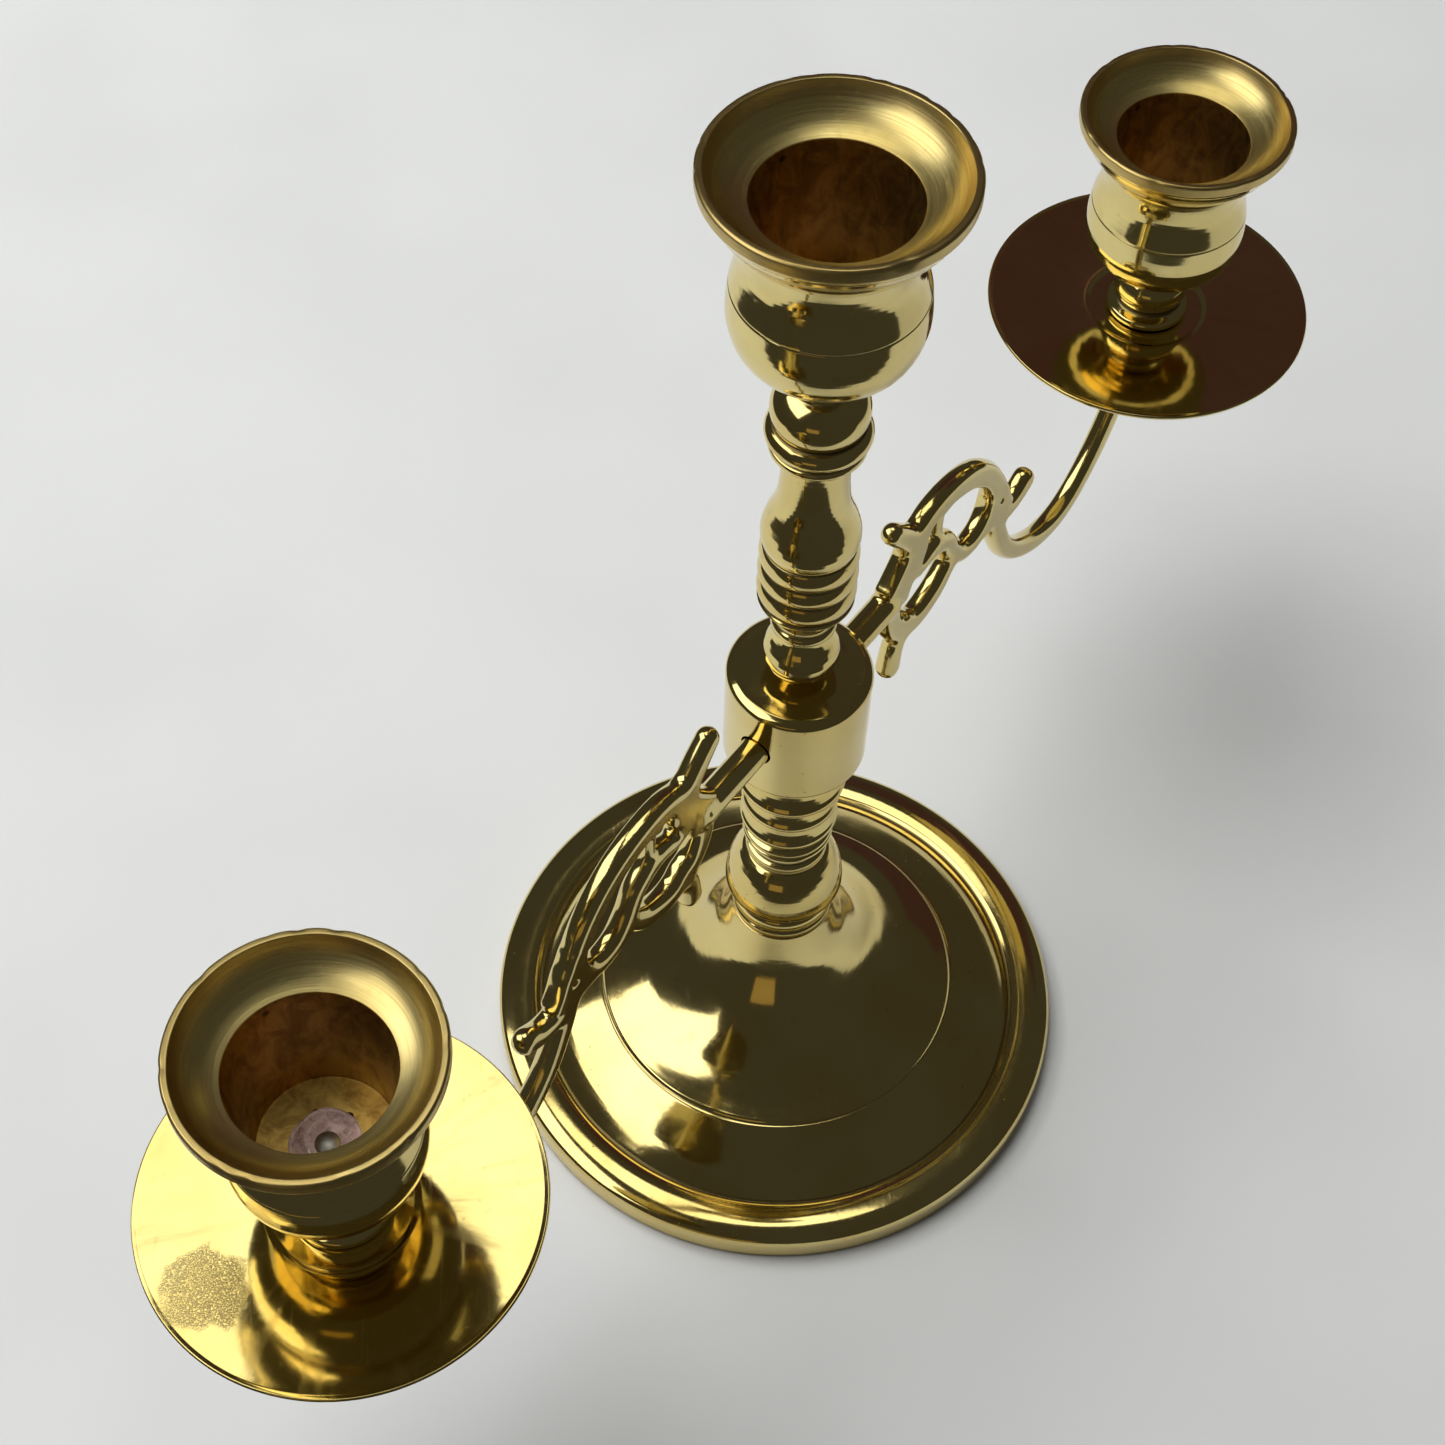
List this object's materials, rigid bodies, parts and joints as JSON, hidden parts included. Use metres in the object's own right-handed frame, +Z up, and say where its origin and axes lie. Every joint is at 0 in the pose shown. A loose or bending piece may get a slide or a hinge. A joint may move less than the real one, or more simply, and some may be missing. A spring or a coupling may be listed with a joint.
{
  "type": "tabletop candelabra",
  "caption": "Tabletop candelabra in polished brass: round stepped foot, turned stem, openwork scroll arms with drip pans, and flared candle cups.",
  "frame": {"origin": "on the table, at the middle of the foot", "axes": "+Z up along the stem, +X along the right arm, +Y square to the arms"},
  "size_m": [0.2704, 0.1032, 0.206],
  "materials": {
    "polished_brass": "polished and lacquered, lightly worn",
    "satin_brass": "turned satin, with fine tool rings",
    "plain_steel": "dull, plain fixings"
  },
  "bodies": {
    "foot": {"base_foot": "polished_brass", "base_washer": "plain_steel", "base_nut": "plain_steel", "tie_rod": "plain_steel", "stem_collar": "polished_brass", "lower_stem": "polished_brass"},
    "hub": {"arm_hub": "polished_brass", "upper_stem": "polished_brass", "ball_knop": "polished_brass"},
    "center_holder": {"center_cup": "satin_brass", "center_cup_nut": "plain_steel"},
    "right_branch": {"right_arm": "polished_brass", "right_cup_stud": "plain_steel"},
    "right_pan": {"right_drip_pan": "polished_brass"},
    "right_holder": {"right_cup": "satin_brass", "right_cup_nut": "plain_steel", "right_cup_spacer": "polished_brass"},
    "left_branch": {"left_arm": "polished_brass", "left_cup_stud": "plain_steel"},
    "left_pan": {"left_drip_pan": "polished_brass"},
    "left_holder": {"left_cup": "satin_brass", "left_cup_nut": "plain_steel", "left_cup_spacer": "polished_brass"}
  },
  "joints": [
    {"name": "hub_swivel", "type": "hinge", "parent": "foot", "child": "hub", "pos_m": [0, 0, 0.0864], "axis": [0, 0, 1], "continuous": true},
    {"name": "center_cup_turn", "type": "hinge", "parent": "hub", "child": "center_holder", "pos_m": [0, 0, 0.1753], "axis": [0, 0, 1], "continuous": true},
    {"name": "right_arm_turn", "type": "hinge", "parent": "hub", "child": "right_branch", "pos_m": [0.0115, 0, 0.096], "axis": [1, 0, 0], "continuous": true},
    {"name": "right_pan_turn", "type": "hinge", "parent": "right_branch", "child": "right_pan", "pos_m": [0.107, 0, 0.098], "axis": [0, 0, 1], "continuous": true},
    {"name": "right_cup_turn", "type": "hinge", "parent": "right_branch", "child": "right_holder", "pos_m": [0.107, 0, 0.0992], "axis": [0, 0, 1], "continuous": true},
    {"name": "left_arm_turn", "type": "hinge", "parent": "hub", "child": "left_branch", "pos_m": [-0.0115, 0, 0.096], "axis": [-1, 0, 0], "continuous": true},
    {"name": "left_pan_turn", "type": "hinge", "parent": "left_branch", "child": "left_pan", "pos_m": [-0.107, 0, 0.098], "axis": [0, 0, 1], "continuous": true},
    {"name": "left_cup_turn", "type": "hinge", "parent": "left_branch", "child": "left_holder", "pos_m": [-0.107, 0, 0.0992], "axis": [0, 0, 1], "continuous": true}
  ]
}
